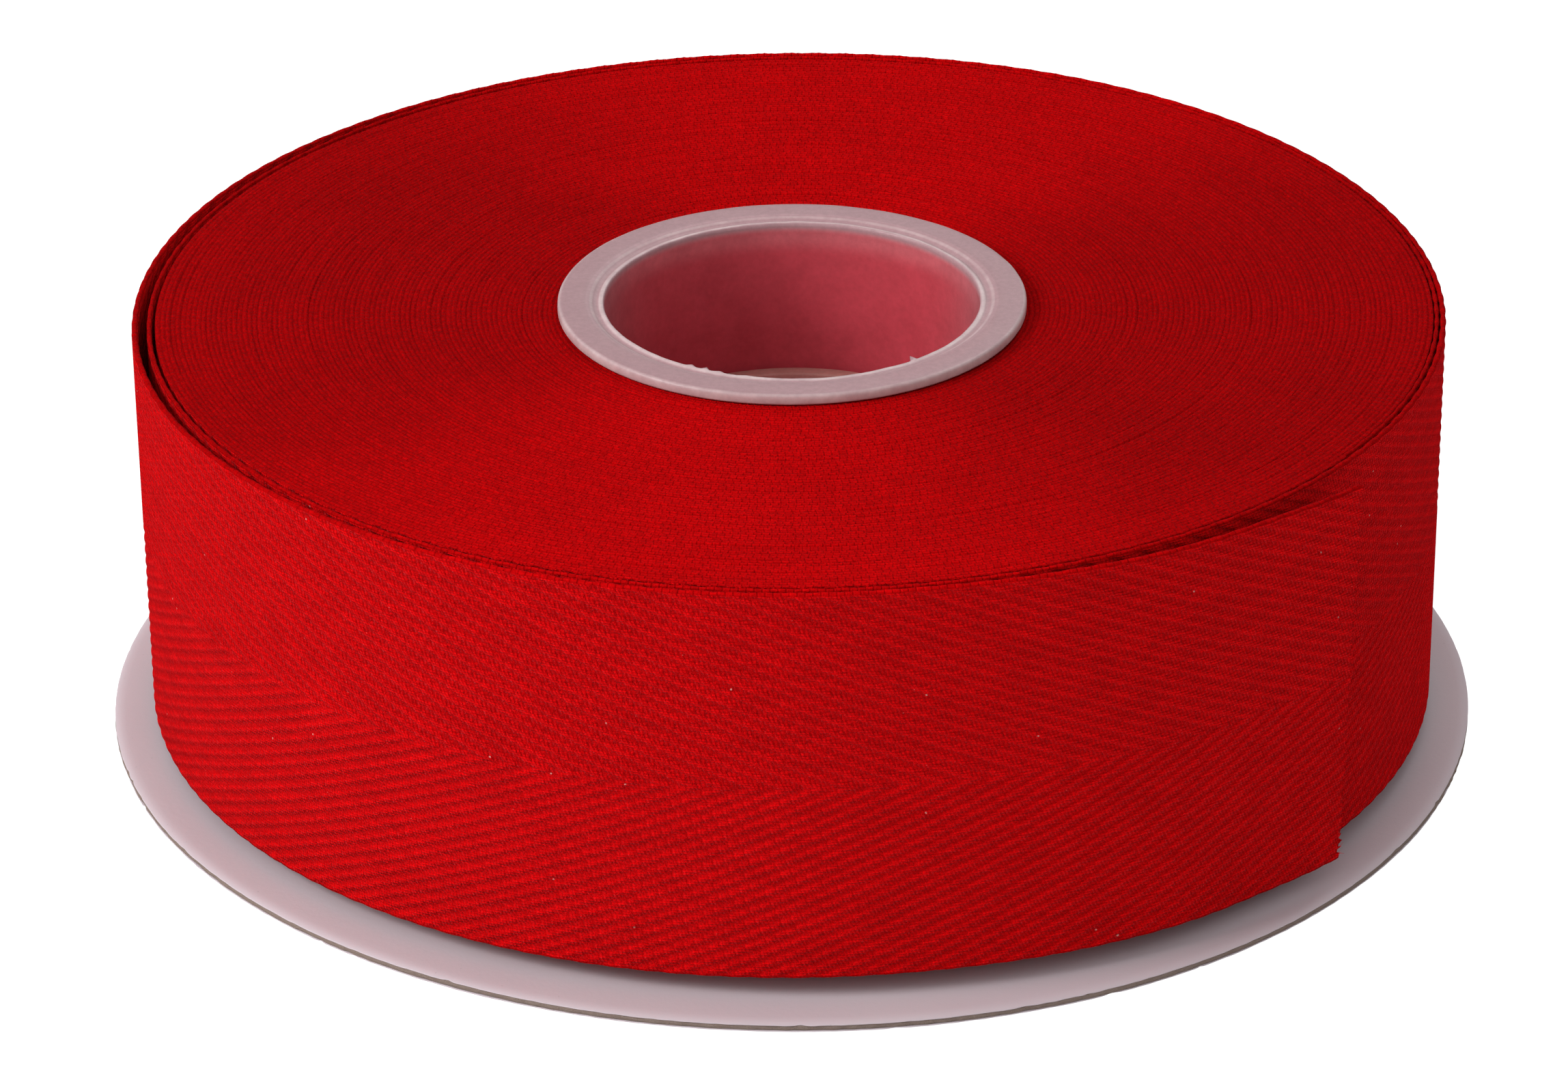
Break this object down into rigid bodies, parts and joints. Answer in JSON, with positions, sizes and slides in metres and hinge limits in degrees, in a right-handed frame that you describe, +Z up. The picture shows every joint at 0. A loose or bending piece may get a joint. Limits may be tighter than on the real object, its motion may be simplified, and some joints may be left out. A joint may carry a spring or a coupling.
{
  "type": "spool of herringbone tape",
  "caption": "Roll of woven herringbone tape on a two-part frosted plastic core, lying on one white-lined card disc, with a loose cut end.",
  "frame": {"origin": "on the core's axis, in the plane the roll rests on", "axes": "+Z up along the core's axis; the tape's cut end is on the +X, -Y side, about 40 degrees from -Y towards +X"},
  "size_m": [0.1284, 0.1284, 0.0417],
  "materials": {
    "red_tape": "matt cotton herringbone twill, fine slubs",
    "frosted_plastic": "frosted, translucent natural polypropylene",
    "white_liner": "smooth white paper",
    "greyboard": "cut edge of grey board",
    "adhesive": "clear yellowish double-sided tape"
  },
  "bodies": {
    "core_lower": {"core_lower": "frosted_plastic"},
    "disc": {"disc_liner_bottom": "white_liner", "disc_board": "greyboard", "disc_liner_top": "white_liner"},
    "roll": {"tape_pack": "red_tape", "slack_turn": "red_tape", "start_tab": "adhesive"},
    "core_upper": {"core_upper": "frosted_plastic"},
    "tail_1": {"tape_tail_1": "red_tape"},
    "tail_2": {"tape_tail_2": "red_tape"},
    "tail_3": {"tape_tail_3": "red_tape"},
    "tail_4": {"tape_tail_4": "red_tape"},
    "tail_5": {"tape_tail_5": "red_tape"},
    "tail_6": {"tape_tail_6": "red_tape"},
    "tail_7": {"tape_tail_7": "red_tape"}
  },
  "joints": [
    {"name": "disc_lift", "type": "slide", "parent": "core_lower", "child": "disc", "axis": [0, 0, 1], "range_m": [0, 0.03]},
    {"name": "roll_lift", "type": "slide", "parent": "disc", "child": "roll", "axis": [0, 0, 1], "range_m": [0, 0.03]},
    {"name": "core_pull", "type": "slide", "parent": "roll", "child": "core_upper", "axis": [0, 0, 1], "range_m": [0, 0.045]},
    {"name": "peel_1", "type": "hinge", "parent": "roll", "child": "tail_1", "pos_m": [-0.04362, -0.04201, 0.02165], "axis": [0, 0, -1], "range_deg": [0, 15]},
    {"name": "peel_2", "type": "hinge", "parent": "tail_1", "child": "tail_2", "pos_m": [-0.03212, -0.0512, 0.02165], "axis": [0, 0, -1], "range_deg": [0, 15]},
    {"name": "peel_3", "type": "hinge", "parent": "tail_2", "child": "tail_3", "pos_m": [-0.01878, -0.05735, 0.02165], "axis": [0, 0, -1], "range_deg": [0, 15]},
    {"name": "peel_4", "type": "hinge", "parent": "tail_3", "child": "tail_4", "pos_m": [-0.00439, -0.06015, 0.02165], "axis": [0, 0, -1], "range_deg": [0, 15]},
    {"name": "peel_5", "type": "hinge", "parent": "tail_4", "child": "tail_5", "pos_m": [0.01024, -0.05945, 0.02165], "axis": [0, 0, -1], "range_deg": [0, 15]},
    {"name": "peel_6", "type": "hinge", "parent": "tail_5", "child": "tail_6", "pos_m": [0.02451, -0.05586, 0.02165], "axis": [0, 0, -1], "range_deg": [0, 15]},
    {"name": "tail_tip", "type": "hinge", "parent": "tail_6", "child": "tail_7", "pos_m": [0.03784, -0.04916, 0.02165], "axis": [0, 0, -1], "range_deg": [-3, 50]}
  ],
  "couplings": [
    {"joint": "peel_2", "follows": "peel_1", "ratio": 1},
    {"joint": "peel_3", "follows": "peel_1", "ratio": 1},
    {"joint": "peel_4", "follows": "peel_1", "ratio": 1},
    {"joint": "peel_5", "follows": "peel_1", "ratio": 1},
    {"joint": "peel_6", "follows": "peel_1", "ratio": 1}
  ]
}
